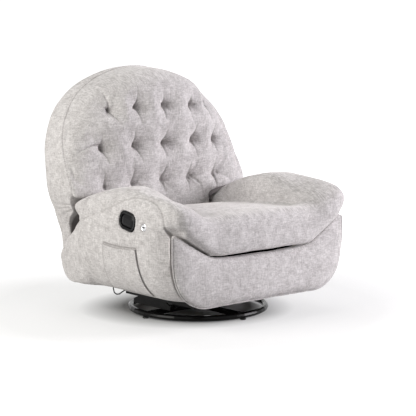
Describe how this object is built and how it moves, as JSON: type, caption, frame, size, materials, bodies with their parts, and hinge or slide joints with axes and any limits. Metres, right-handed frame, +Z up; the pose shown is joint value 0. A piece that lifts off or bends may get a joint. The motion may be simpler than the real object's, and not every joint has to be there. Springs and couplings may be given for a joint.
{
  "type": "swivel rocker recliner",
  "caption": "Swivel rocker recliner with a tufted dome back, pillow arms, side pull latch, patch pocket and a fold-out footrest, on a round black steel ring base",
  "frame": {"origin": "on the floor under the middle of the chair's overall outline, glides at z = 0", "axes": "the sitter faces -Y, +X is the sitter's left, +Z is up"},
  "size_m": [0.9297, 0.9768, 0.9782],
  "materials": {
    "grey_chenille": "heathered chenille weave",
    "black_steel": "gloss black powder coat",
    "spring_steel": "bare spring steel",
    "rubber": "matte",
    "plywood": "raw plywood",
    "black_lining": "black board lining",
    "black_plastic": "semi-gloss moulded",
    "chrome": "bright plated"
  },
  "bodies": {
    "base": {"base_ring": "black_steel", "base_cross": "black_steel", "floor_glide_left": "rubber", "floor_glide_rear": "rubber", "floor_glide_right": "rubber", "floor_glide_front": "rubber", "swivel_lower_plate": "black_steel", "king_bolt": "black_steel"},
    "carriage": {"ball_race": "spring_steel", "swivel_upper_plate": "black_steel", "carriage_plate": "black_steel", "rocker_rail_left": "black_steel", "rocker_rail_right": "black_steel", "rock_pin_left": "spring_steel", "rock_pin_right": "spring_steel", "rock_spring_front_left": "spring_steel", "rock_spring_rear_left": "spring_steel", "rock_spring_front_right": "spring_steel", "rock_spring_rear_right": "spring_steel"},
    "chair": {"side_plate_left": "black_steel", "side_plate_right": "black_steel", "base_rail_left": "black_steel", "base_rail_right": "black_steel", "arm_panel_left": "plywood", "arm_panel_right": "plywood", "front_seat_rail": "black_steel", "rear_seat_rail": "black_steel", "spring_plate": "black_steel", "rear_panel": "black_lining", "seat_spring_left": "spring_steel", "seat_spring_middle": "spring_steel", "seat_spring_right": "spring_steel", "arm_left": "grey_chenille", "arm_right": "grey_chenille", "seat_cushion": "grey_chenille", "latch_cup": "black_plastic", "latch_pin": "spring_steel", "latch_spring": "spring_steel", "port_bezel": "chrome", "port_socket": "black_plastic", "release_cable": "rubber", "cable_clip": "black_steel", "side_pocket": "grey_chenille"},
    "latch_lever": {"latch_lever": "black_plastic"},
    "backrest": {"back_cushion": "grey_chenille", "back_board": "plywood", "back_shell": "grey_chenille", "back_bracket_left": "black_steel", "back_bracket_right": "black_steel"},
    "footrest_link_a": {"torque_tube": "black_steel", "footrest_link_a_left": "black_steel", "footrest_link_a_right": "black_steel"},
    "footrest_link_b": {"footrest_link_b_left": "black_steel", "footrest_link_b_right": "black_steel"},
    "footrest_link_c": {"footrest_link_c_left": "black_steel", "footrest_link_c_right": "black_steel"},
    "ottoman": {"footrest_bracket_left": "black_steel", "footrest_bracket_right": "black_steel", "footrest_board": "plywood", "footrest_pad": "grey_chenille"}
  },
  "joints": [
    {"name": "swivel", "type": "hinge", "parent": "base", "child": "carriage", "pos_m": [0, -0.07355, 0.0397], "axis": [0, 0, 1], "continuous": true},
    {"name": "rock", "type": "hinge", "parent": "carriage", "child": "chair", "pos_m": [0, -0.07355, 0.105], "axis": [1, 0, 0], "range_deg": [-8, 8], "stiffness_Nm_per_rad": 400, "springref_deg": 5.41, "deforming": ["rock_spring_front_left", "rock_spring_rear_left", "rock_spring_front_right", "rock_spring_rear_right"]},
    {"name": "recline", "type": "hinge", "parent": "chair", "child": "backrest", "pos_m": [0, 0.22645, 0.25], "axis": [-1, 0, 0], "range_deg": [0, 45]},
    {"name": "latch", "type": "hinge", "parent": "chair", "child": "latch_lever", "pos_m": [-0.45353, -0.21654, 0.42154], "axis": [0.0523, -0.1734, 0.9835], "range_deg": [0, 25], "stiffness_Nm_per_rad": 0.4, "springref_deg": -5.73, "deforming": ["latch_spring"]},
    {"name": "footrest", "type": "hinge", "parent": "chair", "child": "footrest_link_a", "pos_m": [0, -0.22355, 0.112], "axis": [1, 0, 0], "range_deg": [0, 45.5]},
    {"name": "footrest_fold_b", "type": "hinge", "parent": "footrest_link_a", "child": "footrest_link_b", "pos_m": [0, -0.27855, 0.26756], "axis": [-1, 0, 0], "range_deg": [0, 138.1]},
    {"name": "footrest_fold_c", "type": "hinge", "parent": "footrest_link_b", "child": "footrest_link_c", "pos_m": [0, -0.33355, 0.112], "axis": [1, 0, 0], "range_deg": [0, 143.1]},
    {"name": "footrest_panel_turn", "type": "hinge", "parent": "footrest_link_c", "child": "ottoman", "pos_m": [0, -0.38855, 0.26756], "axis": [-1, 0, 0], "range_deg": [0, 140.6]}
  ],
  "couplings": [
    {"joint": "footrest_fold_b", "follows": "footrest", "ratio": 3.033},
    {"joint": "footrest_fold_c", "follows": "footrest", "ratio": 3.1429},
    {"joint": "footrest_panel_turn", "follows": "footrest", "ratio": 3.0879}
  ]
}
